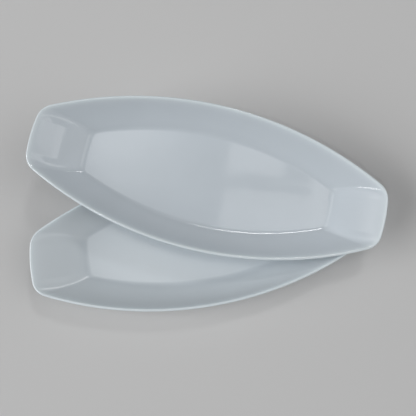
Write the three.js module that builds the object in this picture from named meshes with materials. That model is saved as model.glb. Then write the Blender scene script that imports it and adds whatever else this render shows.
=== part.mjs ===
// Two equal boat-shaped serving platters in white glazed ceramic, the upper one laid askew on the lower one.
// Millimetres, +Z up. The lower platter's long axis runs along X and its foot stands on z = 0.
import * as THREE from "three";
import { LoftGeometry } from "three/addons/geometries/LoftGeometry.js";
import { mergeGeometries } from "three/addons/utils/BufferGeometryUtils.js";

// Rim outline seen from above
const LENGTH = 360;
const WIDTH = 147.5;
const END_WIDTH = 58; // across an end, where the side arcs and the end arc would cross
const END_BOW = 2.7; // bulge of an end arc
const CORNER_RADIUS = 20;

// Flat floor of the well, inside the walls
const WALL_RUN = 29.5; // plan width of a side wall at mid length
const RAMP_RUN = 54; // plan width of an end ramp
const WELL_END_WIDTH = 40;
const WELL_END_BOW = 1;
const WELL_CORNER_RADIUS = 8;

// Cross-section
const DEPTH = 21; // rim crest above the floor
const THICKNESS = 3.2;
const FILLET_RUN = 8; // plan width of the curve from the floor into a wall
const SIDE_STEEPENING = 1.9; // slope below the rim over slope above the fillet, side walls
const END_STEEPENING = 0.55; // the same on the end ramps, which ease towards the rim

// Foot ring under the floor
const FOOT_HEIGHT = 2;
const FOOT_WIDTH = 3.5;
const FOOT_INSET = 2.5; // foot ring inside the edge of the floor

// How the upper platter lies on the lower one
const STACK_SHIFT_X = 10.1;
const STACK_SHIFT_Y = 52.3;
const STACK_TURN = THREE.MathUtils.degToRad(-23.95);
const SEAT_GAP = 0.4; // clearance left where the two platters touch

// Fineness of the mesh and of the search for the seat
const END_STEPS = 4; // per quarter outline
const CORNER_STEPS = 6;
const SIDE_STEPS = 12;
const FILLET_STEPS = 2;
const WALL_STEPS = 4;
const RIM_STEPS = 5;
const CELL = 1;
const TILT_LIMIT = THREE.MathUtils.degToRad(25);
const SEARCH_STEPS = 20;

// Centre of a circle that touches two arcs from inside, given the distances left to their centres.
function cornerCentre(sideCentre, sideDistance, endCentre, endDistance) {
  const across = endCentre.clone().sub(sideCentre);
  const span = across.length();
  const along = (span ** 2 + sideDistance ** 2 - endDistance ** 2) / (2 * span);
  const out = Math.sqrt(sideDistance ** 2 - along ** 2);
  across.normalize();
  const outward = new THREE.Vector2(across.y, -across.x);
  return sideCentre.clone().addScaledVector(across, along).addScaledVector(outward, out);
}

// Points along an arc with their outward normals, its last point left to the next arc.
function arcStations(centre, radius, from, to, steps) {
  return Array.from({ length: steps }, (_, step) => {
    const angle = THREE.MathUtils.lerp(from, to, step / steps);
    const normal = new THREE.Vector2(Math.cos(angle), Math.sin(angle));
    return { point: centre.clone().addScaledVector(normal, radius), normal };
  });
}

function mirrored(station, x, y) {
  const flip = new THREE.Vector2(x, y);
  return { point: station.point.clone().multiply(flip), normal: station.normal.clone().multiply(flip) };
}

// Closed outline of two side arcs and two end arcs with tangent corners, counterclockwise from the +X end.
function boatOutline(length, width, endWidth, endBow, cornerRadius) {
  const sideBow = (width - endWidth) / 2;
  const sideReach = length / 2 - endBow;
  const sideRadius = (sideReach ** 2 + sideBow ** 2) / (2 * sideBow);
  const endRadius = ((endWidth / 2) ** 2 + endBow ** 2) / (2 * endBow);
  const sideCentre = new THREE.Vector2(0, width / 2 - sideRadius);
  const endCentre = new THREE.Vector2(length / 2 - endRadius, 0);
  const corner = cornerCentre(sideCentre, sideRadius - cornerRadius, endCentre, endRadius - cornerRadius);
  const sideAngle = corner.clone().sub(sideCentre).angle();
  const endAngle = corner.clone().sub(endCentre).angle();
  const quarter = [
    ...arcStations(endCentre, endRadius, 0, endAngle, END_STEPS),
    ...arcStations(corner, cornerRadius, endAngle, sideAngle, CORNER_STEPS),
    ...arcStations(sideCentre, sideRadius, sideAngle, Math.PI / 2, SIDE_STEPS),
  ];
  const top = { point: new THREE.Vector2(0, width / 2), normal: new THREE.Vector2(0, 1) };
  const returning = [top, ...quarter.slice(1).reverse()].map((station) => mirrored(station, -1, 1));
  const half = [...quarter, ...returning];
  return [...half, ...half.map((station) => mirrored(station, -1, -1))];
}

const rim = boatOutline(LENGTH, WIDTH, END_WIDTH, END_BOW, CORNER_RADIUS);
const well = boatOutline(
  LENGTH - 2 * RAMP_RUN,
  WIDTH - 2 * WALL_RUN,
  WELL_END_WIDTH,
  WELL_END_BOW,
  WELL_CORNER_RADIUS,
);

// Height and slope of a wall at a share of its run, both for a run and a rise of 1. The slope grows
// evenly through the fillet, and then with the square of the way on to the rim.
function wallProfile(reach, fillet, steepening) {
  const wall = 1 - fillet;
  const firstSlope = 1 / (fillet / 2 + (wall * (2 + steepening)) / 3);
  if (reach < fillet) {
    const slope = (firstSlope * reach) / fillet;
    return { height: (slope * reach) / 2, slope };
  }
  const way = (reach - fillet) / wall;
  const slope = firstSlope * (1 + (steepening - 1) * way ** 2);
  const height = firstSlope * (fillet / 2 + wall * (way + ((steepening - 1) * way ** 3) / 3));
  return { height, slope };
}

// One ring of the wall, counted in steps up from the floor: on the outer face at turn 0, on the inner face
// at half a turn, and round the rim in between.
function wallRing(step, turn) {
  return well.map((foot, index) => {
    const { point, normal: rimNormal } = rim[index];
    const crest = point.clone().addScaledVector(rimNormal, -THICKNESS / 2);
    const fillet = FILLET_RUN / crest.distanceTo(foot.point);
    const filletShare = Math.min(step / FILLET_STEPS, 1);
    const wallShare = Math.max((step - FILLET_STEPS) / WALL_STEPS, 0);
    const reach = filletShare * fillet + wallShare * (1 - fillet);
    const steepening = THREE.MathUtils.lerp(SIDE_STEEPENING, END_STEEPENING, rimNormal.x ** 2);
    const { height, slope } = wallProfile(reach, fillet, steepening);
    const outward = foot.normal.clone().lerp(rimNormal, reach).normalize();
    const run = crest.clone().sub(foot.point).dot(outward);
    const facing = Math.atan((slope * DEPTH) / run) - Math.PI / 2 + turn;
    const plan = foot.point.clone().lerp(crest, reach);
    plan.addScaledVector(outward, (Math.cos(facing) * THICKNESS) / 2);
    const rise = height * DEPTH + (Math.sin(facing) * THICKNESS) / 2;
    return new THREE.Vector3(plan.x, plan.y, FOOT_HEIGHT + THICKNESS / 2 + rise);
  });
}

// One level ring inside the edge of the floor.
function flatRing(inset, height) {
  return well.map(({ point, normal }) => {
    const plan = point.clone().addScaledVector(normal, -inset);
    return new THREE.Vector3(plan.x, plan.y, height);
  });
}

function flatFace(ring) {
  const shape = new THREE.Shape(ring.map(({ x, y }) => new THREE.Vector2(x, y)));
  return new THREE.ShapeGeometry(shape).translate(0, 0, ring[0].z);
}

function platterGeometry() {
  const steps = Array.from({ length: FILLET_STEPS + WALL_STEPS + 1 }, (_, step) => step);
  const turns = Array.from({ length: RIM_STEPS - 1 }, (_, step) => (Math.PI * (step + 1)) / RIM_STEPS);
  const underside = flatRing(FOOT_INSET + FOOT_WIDTH, FOOT_HEIGHT);
  const rings = [
    underside,
    flatRing(FOOT_INSET + FOOT_WIDTH, 0),
    flatRing(FOOT_INSET, 0),
    flatRing(FOOT_INSET, FOOT_HEIGHT),
    ...steps.map((step) => wallRing(step, 0)),
    ...turns.map((turn) => wallRing(steps.at(-1), turn)),
    ...steps.toReversed().map((step) => wallRing(step, Math.PI)),
  ];
  const floor = flatFace(rings.at(-1));
  const belly = flatFace(underside).rotateX(Math.PI).translate(0, 0, 2 * FOOT_HEIGHT);
  return mergeGeometries([new LoftGeometry(rings), floor, belly]);
}

// The three corners of every triangle of a geometry.
function trianglesOf(geometry) {
  const { index } = geometry;
  const position = geometry.getAttribute("position");
  return Array.from({ length: index.count / 3 }, (_, face) => {
    const corners = [0, 1, 2].map((corner) => index.getX(3 * face + corner));
    return new THREE.Triangle().setFromAttributeAndIndices(position, ...corners);
  });
}

// Height of the centre of mass of a closed body that is symmetric about its own Z axis.
function massHeight(triangles) {
  let volume = 0;
  let moment = 0;
  for (const { a, b, c } of triangles) {
    const slice = a.dot(b.clone().cross(c)) / 6;
    volume += slice;
    moment += (slice * (a.z + b.z + c.z)) / 4;
  }
  return moment / volume;
}

const COLUMNS = Math.ceil(LENGTH / CELL) + 1;
const ROWS = Math.ceil(WIDTH / CELL) + 1;
const columnX = (column) => (column - (COLUMNS - 1) / 2) * CELL;
const rowY = (row) => (row - (ROWS - 1) / 2) * CELL;
const columnAt = (x) => x / CELL + (COLUMNS - 1) / 2;
const rowAt = (y) => y / CELL + (ROWS - 1) / 2;

// Lowest and highest point of a body over every node of a square grid.
function heightGrids(triangles) {
  const under = new Float64Array(COLUMNS * ROWS).fill(Infinity);
  const over = new Float64Array(COLUMNS * ROWS).fill(-Infinity);
  const share = new THREE.Vector3();
  for (const { a, b, c } of triangles) {
    const plan = new THREE.Triangle(...[a, b, c].map(({ x, y }) => new THREE.Vector3(x, y, 0)));
    const lastColumn = columnAt(Math.max(a.x, b.x, c.x));
    const lastRow = rowAt(Math.max(a.y, b.y, c.y));
    for (let row = Math.ceil(rowAt(Math.min(a.y, b.y, c.y))); row <= lastRow; row += 1) {
      for (let column = Math.ceil(columnAt(Math.min(a.x, b.x, c.x))); column <= lastColumn; column += 1) {
        const found = plan.getBarycoord(new THREE.Vector3(columnX(column), rowY(row), 0), share);
        if (found && Math.min(share.x, share.y, share.z) >= 0) {
          const height = share.x * a.z + share.y * b.z + share.z * c.z;
          const node = row * COLUMNS + column;
          under[node] = Math.min(under[node], height);
          over[node] = Math.max(over[node], height);
        }
      }
    }
  }
  return { under, over };
}

const platter = platterGeometry();
const faces = trianglesOf(platter);
const grids = heightGrids(faces);
const balance = massHeight(faces);

// Height of the lower platter's top face at a place, or of the table beside it.
function supportHeight(x, y) {
  const across = columnAt(x);
  const along = rowAt(y);
  const column = Math.floor(across);
  const row = Math.floor(along);
  if (column < 0 || row < 0 || column + 1 >= COLUMNS || row + 1 >= ROWS) return 0;
  const node = row * COLUMNS + column;
  const share = across - column;
  const near = THREE.MathUtils.lerp(grids.over[node], grids.over[node + 1], share);
  const far = THREE.MathUtils.lerp(grids.over[node + COLUMNS], grids.over[node + COLUMNS + 1], share);
  const height = THREE.MathUtils.lerp(near, far, along - row);
  return height > 0 ? height : 0;
}

// Pose of the upper platter after it is let down at two tilts, until it touches the lower one or the table.
function letDown(tiltX, tiltY) {
  const pose = new THREE.Matrix4().makeRotationFromEuler(new THREE.Euler(tiltX, tiltY, STACK_TURN));
  pose.setPosition(STACK_SHIFT_X, STACK_SHIFT_Y, 0);
  const point = new THREE.Vector3();
  let height = 0;
  grids.under.forEach((under, node) => {
    if (under === Infinity) return;
    const column = node % COLUMNS;
    point.set(columnX(column), rowY((node - column) / COLUMNS), under).applyMatrix4(pose);
    height = Math.max(height, supportHeight(point.x, point.y) - point.z);
  });
  return pose.setPosition(STACK_SHIFT_X, STACK_SHIFT_Y, height);
}

// Golden-section search for the value at which a single-valleyed function is lowest.
function lowestAt(measure) {
  const golden = (Math.sqrt(5) - 1) / 2;
  let low = -TILT_LIMIT;
  let high = TILT_LIMIT;
  let left = high - golden * (high - low);
  let right = low + golden * (high - low);
  let leftValue = measure(left);
  let rightValue = measure(right);
  for (let step = 0; step < SEARCH_STEPS; step += 1) {
    if (leftValue < rightValue) {
      high = right;
      right = left;
      rightValue = leftValue;
      left = high - golden * (high - low);
      leftValue = measure(left);
    } else {
      low = left;
      left = right;
      leftValue = rightValue;
      right = low + golden * (high - low);
      rightValue = measure(right);
    }
  }
  return (low + high) / 2;
}

// The upper platter comes to rest at the two tilts that bring its centre of mass lowest.
const balanceAt = (tiltX, tiltY) => new THREE.Vector3(0, 0, balance).applyMatrix4(letDown(tiltX, tiltY)).z;
const restTiltY = (tiltX) => lowestAt((tiltY) => balanceAt(tiltX, tiltY));
const seatTiltX = lowestAt((tiltX) => balanceAt(tiltX, restTiltY(tiltX)));
const seatTiltY = restTiltY(seatTiltX);
const seat = new THREE.Vector3().setFromMatrixPosition(letDown(seatTiltX, seatTiltY));

const glaze = new THREE.MeshStandardMaterial({ color: 0xe8ecef, roughness: 0.12, metalness: 0 });

const lowerPlatter = new THREE.Mesh(platter, glaze);
lowerPlatter.name = "lower_platter";

const upperPlatter = new THREE.Mesh(platter, glaze);
upperPlatter.name = "upper_platter";
upperPlatter.rotation.set(seatTiltX, seatTiltY, STACK_TURN);
upperPlatter.position.copy(seat);
upperPlatter.position.z += SEAT_GAP;

// The middle of the pair's footprint is the origin.
const stack = new THREE.Group();
stack.add(lowerPlatter, upperPlatter);
const middle = new THREE.Box3().setFromObject(stack, true).getCenter(new THREE.Vector3());
stack.position.set(-middle.x, -middle.y, 0);

const platterPair = new THREE.Group();
platterPair.add(stack);

export default platterPair;
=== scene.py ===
import math

import bpy
import numpy as np
from mathutils import Matrix, Vector


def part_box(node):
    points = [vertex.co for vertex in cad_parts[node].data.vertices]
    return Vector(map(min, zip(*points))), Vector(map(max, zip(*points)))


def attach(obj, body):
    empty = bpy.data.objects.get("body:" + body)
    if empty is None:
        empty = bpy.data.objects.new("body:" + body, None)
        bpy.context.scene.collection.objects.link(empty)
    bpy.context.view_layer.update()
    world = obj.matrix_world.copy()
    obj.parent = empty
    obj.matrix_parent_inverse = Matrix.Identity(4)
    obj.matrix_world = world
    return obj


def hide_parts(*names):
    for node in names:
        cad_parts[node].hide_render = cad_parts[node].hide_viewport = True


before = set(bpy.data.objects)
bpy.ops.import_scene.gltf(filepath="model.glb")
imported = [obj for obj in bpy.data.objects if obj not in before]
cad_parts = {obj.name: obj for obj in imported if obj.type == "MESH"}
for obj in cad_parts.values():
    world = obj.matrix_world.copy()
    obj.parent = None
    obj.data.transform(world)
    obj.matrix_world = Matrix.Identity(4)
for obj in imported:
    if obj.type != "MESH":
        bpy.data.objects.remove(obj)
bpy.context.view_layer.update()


# The lower platter: one pressed piece of white body under a clear, glossy glaze, standing on a foot ring.
# Its flat well runs out through a small fillet into coved side walls and into longer ramps at the ends,
# and the wall finishes in a rounded rim.
platter_low, platter_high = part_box("lower_platter")
platter_size = platter_high - platter_low
THICKNESS = 0.0032
FOOT_HEIGHT = 0.002
platter_shape = {
    "Length": platter_size.x,
    "Width": platter_size.y,
    "End Width": 0.058,
    "End Bow": 0.0027,
    "Corner Radius": 0.020,
    "Ramp Run": 0.054,
    "Wall Run": 0.0295,
    "Well End Width": 0.040,
    "Well End Bow": 0.001,
    "Well Corner Radius": 0.008,
    "Depth": platter_size.z - THICKNESS - FOOT_HEIGHT,
    "Thickness": THICKNESS,
    "Fillet Run": 0.008,
    "Side Steepening": 1.9,
    "End Steepening": 0.55,
    "Foot Height": FOOT_HEIGHT,
    "Foot Width": 0.0035,
    "Foot Inset": 0.0025,
}
END_STEPS, CORNER_STEPS, SIDE_STEPS = 16, 32, 48
FOOT_STEPS, FILLET_STEPS, WALL_STEPS, RIM_STEPS = 16, 8, 20, 12


class Wire:
    """One socket of a node tree. Sums and products of wires add the nodes that work them out."""

    def __init__(self, tree, socket=None):
        self.tree = tree
        self.socket = socket

    def add(self, kind, settings, sockets, output=0):
        node = self.tree.nodes.new(kind)
        for name, value in settings.items():
            setattr(node, name, value)
        for name, value in sockets.items():
            if isinstance(value, Wire):
                self.tree.links.new(value.socket, node.inputs[name])
            else:
                node.inputs[name].default_value = value
        return Wire(self.tree, node.outputs[output])

    def math(self, operation, *values):
        return self.add("ShaderNodeMath", {"operation": operation}, dict(enumerate(values)))

    def clamp(self, low=0.0, high=1.0):
        return self.math("MINIMUM", self.math("MAXIMUM", self, low), high)

    def pick(self, yes, no):
        """yes where this wire is 1 and no where it is 0."""
        return no + self * (yes - no)

    def __add__(self, other):
        return self.math("ADD", self, other)

    def __radd__(self, other):
        return self.math("ADD", other, self)

    def __sub__(self, other):
        return self.math("SUBTRACT", self, other)

    def __rsub__(self, other):
        return self.math("SUBTRACT", other, self)

    def __mul__(self, other):
        return self.math("MULTIPLY", self, other)

    def __rmul__(self, other):
        return self.math("MULTIPLY", other, self)

    def __truediv__(self, other):
        return self.math("DIVIDE", self, other)

    def __rtruediv__(self, other):
        return self.math("DIVIDE", other, self)

    def __pow__(self, other):
        return self.math("POWER", self, other)

    def __lt__(self, other):
        return self.math("LESS_THAN", self, other)

    def __gt__(self, other):
        return self.math("GREATER_THAN", self, other)


def boat_outline(station, length, width, end_width, end_bow, corner_radius):
    """Point and outward normal on a boat shape, whose side, end and corner arcs run into each other."""
    make = station.math
    side_bow = (width - end_width) / 2
    side_reach = length / 2 - end_bow
    side_radius = (side_reach**2 + side_bow**2) / (2 * side_bow)
    end_radius = ((end_width / 2) ** 2 + end_bow**2) / (2 * end_bow)
    side_centre = width / 2 - side_radius
    end_centre = length / 2 - end_radius
    side_left = side_radius - corner_radius
    end_left = end_radius - corner_radius
    span = make("SQRT", end_centre**2 + side_centre**2)
    along = (span**2 + side_left**2 - end_left**2) / (2 * span)
    out = make("SQRT", side_left**2 - along**2)
    corner_x = (end_centre * along - side_centre * out) / span
    corner_y = side_centre - (side_centre * along + end_centre * out) / span
    side_angle = make("ARCTAN2", corner_y - side_centre, corner_x)
    end_angle = make("ARCTAN2", corner_y, corner_x - end_centre)
    quarter = END_STEPS + CORNER_STEPS + SIDE_STEPS
    step = make("PINGPONG", station, quarter)
    left = (station > quarter) * (station < 3 * quarter)
    near = station > 2 * quarter
    on_end = step < END_STEPS
    on_side = step > END_STEPS + CORNER_STEPS
    angle = (
        end_angle * (step / END_STEPS).clamp()
        + (side_angle - end_angle) * ((step - END_STEPS) / CORNER_STEPS).clamp()
        + (math.pi / 2 - side_angle) * ((step - END_STEPS - CORNER_STEPS) / SIDE_STEPS).clamp()
    )
    normal_x = make("COSINE", angle)
    normal_y = make("SINE", angle)
    centre_x = on_end.pick(end_centre, on_side.pick(0.0, corner_x))
    centre_y = on_end.pick(0.0, on_side.pick(side_centre, corner_y))
    radius = on_end.pick(end_radius, on_side.pick(side_radius, corner_radius))
    turn_x = 1 - 2 * left
    turn_y = 1 - 2 * near
    point = (turn_x * (centre_x + radius * normal_x), turn_y * (centre_y + radius * normal_y))
    return point, (turn_x * normal_x, turn_y * normal_y)


platter_tree = bpy.data.node_groups.new("boat_platter", "GeometryNodeTree")
for name in platter_shape:
    platter_tree.interface.new_socket(name, in_out="INPUT", socket_type="NodeSocketFloat")
platter_tree.interface.new_socket("Glaze", in_out="INPUT", socket_type="NodeSocketMaterial")
platter_tree.interface.new_socket("Platter", in_out="OUTPUT", socket_type="NodeSocketGeometry")
given = platter_tree.nodes.new("NodeGroupInput").outputs
size = {name: Wire(platter_tree, given[name]) for name in platter_shape}
pad = Wire(platter_tree)

# A sheet of stations round the platter by rings over it. The rings run from the middle of the underside
# over the rim to the middle of the well.
stations = 4 * (END_STEPS + CORNER_STEPS + SIDE_STEPS)
face_steps = FILLET_STEPS + WALL_STEPS
foot_start = 2
wall_start = foot_start + FOOT_STEPS + 1
wall_rings = 2 * face_steps + RIM_STEPS
last_ring = wall_start + wall_rings + 1
sheet = pad.add(
    "GeometryNodeMeshGrid",
    {},
    {"Size X": 1.0, "Size Y": 1.0, "Vertices X": stations + 1, "Vertices Y": last_ring + 1},
)
sheet_point = pad.add("GeometryNodeInputPosition", {}, {})
sheet_x = pad.add("ShaderNodeSeparateXYZ", {}, {0: sheet_point}, "X")
sheet_y = pad.add("ShaderNodeSeparateXYZ", {}, {0: sheet_point}, "Y")
station = pad.math("ROUND", (sheet_x + 0.5) * stations)
ring = pad.math("ROUND", (sheet_y + 0.5) * last_ring)

rim_point, rim_normal = boat_outline(
    station, size["Length"], size["Width"], size["End Width"], size["End Bow"], size["Corner Radius"]
)
well_point, well_normal = boat_outline(
    station,
    size["Length"] - 2 * size["Ramp Run"],
    size["Width"] - 2 * size["Wall Run"],
    size["Well End Width"],
    size["Well End Bow"],
    size["Well Corner Radius"],
)
half_wall = size["Thickness"] / 2
crest = [point - half_wall * normal for point, normal in zip(rim_point, rim_normal)]
across = [top - bottom for top, bottom in zip(crest, well_point)]

# Up the outer face, round the rim and down the inner face.
wall_ring = (ring - wall_start).clamp(0, wall_rings)
step = pad.math("MINIMUM", pad.math("MINIMUM", wall_ring, wall_rings - wall_ring), face_steps)
turn = ((wall_ring - face_steps) / RIM_STEPS).clamp() * math.pi
fillet = size["Fillet Run"] / pad.math("SQRT", across[0] ** 2 + across[1] ** 2)
reach = (step / FILLET_STEPS).clamp() * fillet + ((step - FILLET_STEPS) / WALL_STEPS).clamp() * (1 - fillet)
steepening = (rim_normal[0] ** 2).pick(size["End Steepening"], size["Side Steepening"])
wall_part = 1 - fillet
first_slope = 1 / (fillet / 2 + wall_part * (2 + steepening) / 3)
way = ((reach - fillet) / wall_part).clamp()
fillet_slope = first_slope * reach / fillet
wall_slope = first_slope * (1 + (steepening - 1) * way**2)
fillet_rise = fillet_slope * reach / 2
wall_rise = first_slope * (fillet / 2 + wall_part * (way + (steepening - 1) * way**3 / 3))
on_fillet = reach < fillet
slope = on_fillet.pick(fillet_slope, wall_slope)
height = on_fillet.pick(fillet_rise, wall_rise)
mixed = [reach.pick(top, bottom) for top, bottom in zip(rim_normal, well_normal)]
mixed_length = pad.math("SQRT", mixed[0] ** 2 + mixed[1] ** 2)
outward = [part / mixed_length for part in mixed]
run = across[0] * outward[0] + across[1] * outward[1]
facing = pad.math("ARCTANGENT", slope * size["Depth"] / run) - math.pi / 2 + turn
stand_off = half_wall * pad.math("COSINE", facing)
wall_place = [
    bottom + reach * full + stand_off * lean for bottom, full, lean in zip(well_point, across, outward)
]
wall_height = size["Foot Height"] + half_wall + height * size["Depth"] + half_wall * pad.math("SINE", facing)

# Across the foot ring, a bead with rounded edges, from its inner to its outer side. The flat underside
# stops a little way inside the bead.
FOOT_SQUARENESS = 0.4
FOOT_LEAD = 0.0006
foot_angle = ((ring - foot_start) / FOOT_STEPS).clamp() * math.pi
foot_cosine = pad.math("COSINE", foot_angle)
foot_side = pad.math("SIGN", foot_cosine) * pad.math("ABSOLUTE", foot_cosine) ** FOOT_SQUARENESS
foot_depth = pad.math("MAXIMUM", pad.math("SINE", foot_angle), 0.0) ** FOOT_SQUARENESS
foot_lead = (ring < foot_start - 0.5) * FOOT_LEAD
foot_inset = size["Foot Inset"] + size["Foot Width"] * (0.5 + 0.5 * foot_side) + foot_lead
foot_place = [point - foot_inset * normal for point, normal in zip(well_point, well_normal)]
foot_height = size["Foot Height"] * (1 - foot_depth)

on_foot = ring < wall_start - 0.5
spread = (ring > 0.5) * (ring < last_ring - 0.5)
place = pad.add(
    "ShaderNodeCombineXYZ",
    {},
    {
        "X": spread * on_foot.pick(foot_place[0], wall_place[0]),
        "Y": spread * on_foot.pick(foot_place[1], wall_place[1]),
        "Z": on_foot.pick(foot_height, wall_height),
    },
)


def keep_field(geometry, name, kind, value):
    """Stores a field on the platter's points, where its glaze reads it."""
    settings = {"data_type": kind, "domain": "POINT"}
    inputs = {"Geometry": geometry, "Name": name, "Value": value}
    return pad.add("GeometryNodeStoreNamedAttribute", settings, inputs)


# Where the glaze is wiped off the foot, where a highlight is painted over the rim, and where shade is
# painted along the edge of the well.
RIM_HIGHLIGHT_NARROWNESS = 20
FILLET_SHADE_MIDDLE = 0.6
WELD_DISTANCE = 1e-6
tread = on_foot * foot_depth
# Painted highlight: the rim's crest is painted paler than the body.
rim_highlight = (step / face_steps) ** RIM_HIGHLIGHT_NARROWNESS
inner_face = turn > math.pi / 2
# Painted shade: a darker, bluer band across the middle of the fillet at the edge of the well.
fillet_shade = (1 - pad.math("ABSOLUTE", reach / fillet - FILLET_SHADE_MIDDLE)).clamp() * inner_face
marked = keep_field(sheet, "place", "FLOAT_VECTOR", place)
marked = keep_field(marked, "tread", "FLOAT", tread)
marked = keep_field(marked, "rim_highlight", "FLOAT", rim_highlight)
marked = keep_field(marked, "fillet_shade", "FLOAT", fillet_shade)
laid = pad.add("GeometryNodeSetPosition", {}, {"Geometry": marked, "Position": place})
closed = pad.add("GeometryNodeMergeByDistance", {}, {"Geometry": laid, "Distance": WELD_DISTANCE})
smooth = pad.add("GeometryNodeSetShadeSmooth", {}, {"Geometry": closed, "Shade Smooth": True})
whole = pad.add("GeometryNodeRealizeInstances", {}, {"Geometry": smooth})
glaze_given = Wire(platter_tree, given["Glaze"])
glazed = pad.add("GeometryNodeSetMaterial", {}, {"Geometry": whole, "Material": glaze_given})
platter_tree.links.new(glazed.socket, platter_tree.nodes.new("NodeGroupOutput").inputs["Platter"])


# Painted shade colour and its strength for the band along the well's fillet.
FILLET_SHADE_COLOUR, FILLET_SHADE_DEPTH = (0.54, 0.60, 0.65, 1), 0.35
# Painted highlight colour for the rim's crest.
RIM_HIGHLIGHT_COLOUR = (0.75, 0.825, 0.865, 1)
BARE_COLOUR, BARE_ROUGHNESS = (0.66, 0.64, 0.60, 1), 0.7
BARE_START, BARE_SHARPNESS = 0.86, 20
CLOUD_SCALE, RIPPLE_SCALE, GRAIN_SCALE = 22.0, 60.0, 900.0
GLOSS_SPREAD = 0.06
RIPPLE_STRENGTH, RIPPLE_HEIGHT, GRAIN_SHARE = 0.25, 0.0002, 0.02


def glaze_material(name, shift, deep, pale, gloss):
    """White body under clear glaze, mottled from deep to pale, with gloss as its least roughness.

    shift moves the mottling, so that no two are alike.
    """
    material = bpy.data.materials.new(name)
    material.use_nodes = True
    tree = material.node_tree
    shader = tree.nodes["Principled BSDF"]
    ink = Wire(tree)
    at = ink.add("ShaderNodeAttribute", {"attribute_name": "place"}, {}, "Vector")
    at = ink.add("ShaderNodeVectorMath", {"operation": "ADD"}, {0: at, 1: shift})
    tread = ink.add("ShaderNodeAttribute", {"attribute_name": "tread"}, {}, "Fac")
    rim_highlight = ink.add("ShaderNodeAttribute", {"attribute_name": "rim_highlight"}, {}, "Fac")
    fillet_shade = ink.add("ShaderNodeAttribute", {"attribute_name": "fillet_shade"}, {}, "Fac")

    def noise(scale, detail):
        return ink.add("ShaderNodeTexNoise", {}, {"Vector": at, "Scale": scale, "Detail": detail}, "Fac")

    def blend(share, first, second):
        """The colour first where share is 0 and second where it is 1, by the colour sockets of a mix."""
        return ink.add("ShaderNodeMix", {"data_type": "RGBA"}, {0: share, 6: first, 7: second}, 2)

    cloud = noise(CLOUD_SCALE, detail=3.0)
    grain = noise(GRAIN_SCALE, detail=2.0)
    ripple = noise(RIPPLE_SCALE, detail=1.0)
    bare = ((tread - BARE_START) * BARE_SHARPNESS).clamp()
    body = blend(cloud, deep, pale)
    # Painted shade along the well's fillet.
    body = blend(fillet_shade * FILLET_SHADE_DEPTH, body, FILLET_SHADE_COLOUR)
    # Painted highlight on the rim's crest.
    body = blend(rim_highlight, body, RIM_HIGHLIGHT_COLOUR)
    body = blend(bare, body, BARE_COLOUR)
    tree.links.new(body.socket, shader.inputs["Base Color"])
    rough = bare.pick(BARE_ROUGHNESS, gloss + GLOSS_SPREAD * cloud)
    tree.links.new(rough.socket, shader.inputs["Roughness"])
    relief = {"Strength": RIPPLE_STRENGTH, "Distance": RIPPLE_HEIGHT, "Height": ripple + GRAIN_SHARE * grain}
    bump = ink.add("ShaderNodeBump", {}, relief)
    tree.links.new(bump.socket, shader.inputs["Normal"])
    return material


def pressed_platter(name, glaze, seat):
    """One platter from the tree as a plain mesh, put in its place by seat."""
    piece = bpy.data.objects.new(name, bpy.data.meshes.new(name))
    bpy.context.scene.collection.objects.link(piece)
    press = piece.modifiers.new("press", "NODES")
    press.node_group = platter_tree
    for socket in platter_tree.interface.items_tree:
        if socket.in_out == "INPUT":
            press[socket.identifier] = platter_shape.get(socket.name, glaze)
    evaluated = piece.evaluated_get(bpy.context.evaluated_depsgraph_get())
    mesh = bpy.data.meshes.new_from_object(evaluated)
    piece.modifiers.remove(press)
    mesh.transform(seat)
    piece.data = mesh
    return piece


# Painted light: the lower platter has the same glaze as the upper one, but its colours are painted lighter
# to stand in for the extra light that falls on it.
LOWER_DEEP_PAINTED_LIGHT, LOWER_PALE_PAINTED_LIGHT = (0.64, 0.695, 0.73, 1), (0.69, 0.745, 0.785, 1)
LOWER_GLOSS = 0.2
lower_middle = (platter_low + platter_high) / 2
lower_seat = Matrix.Translation((lower_middle.x, lower_middle.y, platter_low.z))
lower_glaze = glaze_material("lower_glaze", (0.0, 0.0, 0.0), LOWER_DEEP_PAINTED_LIGHT, LOWER_PALE_PAINTED_LIGHT, LOWER_GLOSS)
lower = pressed_platter("lower_platter_glazed", lower_glaze, lower_seat)
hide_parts("lower_platter")
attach(lower, "lower")


# The upper platter: a second pressing from the same mould. It lies loose and askew on the lower one,
# with its underside on the lower rim, and lifts straight off.
UPPER_DEEP, UPPER_PALE = (0.58, 0.64, 0.69, 1), (0.63, 0.69, 0.745, 1)
UPPER_GLOSS = 0.045


def corners(node):
    """The corner points of a CAD node, each once."""
    points = np.array([vertex.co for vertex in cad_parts[node].data.vertices])
    return np.unique(points.round(7), axis=0)


lower_corners = corners("lower_platter")
upper_corners = corners("upper_platter")
upper_centre = upper_corners.mean(axis=0)
# The directions in which the corners spread most and least are the platter's long axis and its upright.
scatter = np.cov((upper_corners - upper_centre).T)
upper_axes = np.linalg.eigh(scatter)[1][:, ::-1]
upper_axes[:, 0] *= np.sign(upper_axes[0, 0])
upper_axes[:, 2] *= np.sign(upper_axes[2, 2])
upper_axes[:, 1] = np.cross(upper_axes[:, 2], upper_axes[:, 0])
centre_height = lower_corners[:, 2].mean() - platter_low.z
upper_origin = upper_centre - centre_height * upper_axes[:, 2]
upper_seat = Matrix.Translation(upper_origin) @ Matrix(upper_axes.tolist()).to_4x4()
upper_glaze = glaze_material("upper_glaze", (0.7, 0.3, 0.1), UPPER_DEEP, UPPER_PALE, UPPER_GLOSS)
upper = pressed_platter("upper_platter_glazed", upper_glaze, upper_seat)
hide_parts("upper_platter")
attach(upper, "upper")


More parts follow.
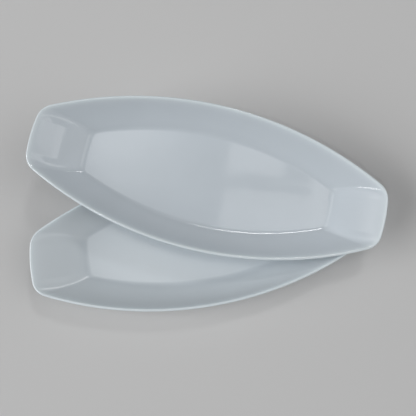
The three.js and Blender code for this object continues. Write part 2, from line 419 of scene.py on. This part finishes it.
# The table: a plain pale surface under the lower platter, matt enough to take a soft shadow.
# Seen from the side, its far part fades into a backdrop of the same grey.
HALF_TABLE = 6.0
TABLE_GREY, TABLE_ROUGHNESS, TABLE_SHEEN = (0.66, 0.66, 0.66, 1), 0.9, 0.0
FADE_START, FADE_LENGTH = 0.35, 0.75
BACKDROP = 0.46
table = bpy.data.objects.new("table", bpy.data.meshes.new("table"))
table_corners = [(x * HALF_TABLE, y * HALF_TABLE, 0) for x, y in ((-1, -1), (1, -1), (1, 1), (-1, 1))]
table.data.from_pydata(table_corners, [], [(0, 1, 2, 3)])
bpy.context.scene.collection.objects.link(table)
table_paint = bpy.data.materials.new("table_paint")
table_paint.use_nodes = True
paint_tree = table_paint.node_tree
painted = paint_tree.nodes["Principled BSDF"]
painted.inputs["Base Color"].default_value = TABLE_GREY
painted.inputs["Roughness"].default_value = TABLE_ROUGHNESS
painted.inputs["Specular IOR Level"].default_value = TABLE_SHEEN
brush = Wire(paint_tree)
on_table = brush.add("ShaderNodeTexCoord", {}, {}, "Object")
away = brush.add("ShaderNodeVectorMath", {"operation": "LENGTH"}, {0: on_table}, "Value")
far_off = ((away - FADE_START) / FADE_LENGTH).clamp()
to_camera = brush.add("ShaderNodeLightPath", {}, {}, "Is Camera Ray")
to_gloss = brush.add("ShaderNodeLightPath", {}, {}, "Is Glossy Ray")
to_glass = brush.add("ShaderNodeLightPath", {}, {}, "Is Transmission Ray")
fade = far_off * far_off * (3 - 2 * far_off) * (to_camera + to_gloss + to_glass).clamp()
haze = brush.add("ShaderNodeEmission", {}, {"Strength": BACKDROP})
surface = brush.add("ShaderNodeMixShader", {}, {0: fade, 1: Wire(paint_tree, painted.outputs[0]), 2: haze})
paint_tree.links.new(surface.socket, paint_tree.nodes["Material Output"].inputs["Surface"])
table.data.materials.append(table_paint)


# The light: a broad soft panel low on the left and a room that glows softly on the right and overhead.
# A small panel behind draws the bright line along the near edge of the well, a small one at the near left
# draws the line in the right end's corner, and dim panes overhead mirror as a window with a bar in the well.
def direction(azimuth, elevation):
    """Unit vector in degrees from the near side, counted to the right, and up from the table."""
    turn, rise = math.radians(azimuth), math.radians(elevation)
    return Vector((math.sin(turn) * math.cos(rise), -math.cos(turn) * math.cos(rise), math.sin(rise)))


def soft_panel(name, place, target, width, height, watts):
    """A rectangular lamp at place that faces target."""
    lamp = bpy.data.lights.new(name, "AREA")
    lamp.shape = "RECTANGLE"
    lamp.size = width
    lamp.size_y = height
    lamp.energy = watts
    panel = bpy.data.objects.new(name, lamp)
    panel.location = place
    panel.rotation_euler = (Vector(target) - Vector(place)).to_track_quat("-Z", "Y").to_euler()
    bpy.context.scene.collection.objects.link(panel)
    return panel


BROAD_DISTANCE, PANEL_DISTANCE = 9.0, 3.0
MIDDLE = (0, 0, 0)
soft_panel("left_panel", BROAD_DISTANCE * direction(271, 26), MIDDLE, width=7.2, height=4.5, watts=640)
soft_panel("back_panel", PANEL_DISTANCE * direction(145, 50), MIDDLE, width=0.4, height=0.4, watts=8)
soft_panel("near_panel", PANEL_DISTANCE * direction(302, 57.5), MIDDLE, width=0.3, height=0.3, watts=5)
CEILING = 1.7
for name, x, y, width, height, turn, watts in (
    ("far_pane", 0.385, 0.02, 0.31, 0.16, -18, 0.25),
    ("near_pane", 0.40, -0.225, 0.47, 0.21, -16, 0.45),
    ("end_pane", 0.70, -0.27, 0.145, 0.28, -10, 0.23),
):
    pane = soft_panel(name, (x, y, CEILING), (x, y, 0), width, height, watts)
    pane.rotation_euler.z = math.radians(turn)

room = bpy.data.worlds.new("room")
room.use_nodes = True
air = Wire(room.node_tree)
outlook = air.add("ShaderNodeTexCoord", {}, {}, "Generated")


def glow(azimuth, elevation, falloff, strength):
    """Brightness of a softly lit part of the room, greatest in one direction."""
    toward = direction(azimuth, elevation)
    facing = air.add("ShaderNodeVectorMath", {"operation": "DOT_PRODUCT"}, {0: outlook, 1: toward}, "Value")
    return strength * facing.clamp() ** falloff


right_side = glow(70, 31, falloff=8, strength=1.95)
overhead = glow(220, 78, falloff=90, strength=2.5)
room_light = right_side + overhead
for_camera = air.add("ShaderNodeLightPath", {}, {}, "Is Camera Ray")
for_gloss = air.add("ShaderNodeLightPath", {}, {}, "Is Glossy Ray")
for_glass = air.add("ShaderNodeLightPath", {}, {}, "Is Transmission Ray")
shown = for_camera.pick(BACKDROP, room_light + BACKDROP * (for_gloss + for_glass).clamp())
room.node_tree.links.new(shown.socket, room.node_tree.nodes["Background"].inputs["Strength"])
room.node_tree.nodes["Background"].inputs["Color"].default_value = (1, 1, 1, 1)
bpy.context.scene.world = room
bpy.context.scene.view_settings.view_transform = "Standard"


# The camera: a short-range view from high above the near side and a little to the left of it.
# Its place and focal length are the ones that lay both rims over those in the photograph.
CAMERA_TARGET = Vector((0.00422, -0.00775, 0.0052))
CAMERA_AZIMUTH, CAMERA_ELEVATION = math.radians(-10.88), math.radians(75.24)
CAMERA_DISTANCE = 0.3961
FOCAL_PIXELS, FRAME_PIXELS = 364.2, 416
back = Vector(
    (
        math.sin(CAMERA_AZIMUTH) * math.cos(CAMERA_ELEVATION),
        -math.cos(CAMERA_AZIMUTH) * math.cos(CAMERA_ELEVATION),
        math.sin(CAMERA_ELEVATION),
    )
)
camera = bpy.data.objects.new("camera", bpy.data.cameras.new("camera"))
camera.data.sensor_width = 36
camera.data.lens = camera.data.sensor_width * FOCAL_PIXELS / FRAME_PIXELS
camera.data.clip_start = 0.01
camera.location = CAMERA_TARGET + CAMERA_DISTANCE * back
camera.rotation_euler = back.to_track_quat("Z", "Y").to_euler()
bpy.context.scene.collection.objects.link(camera)
bpy.context.scene.camera = camera
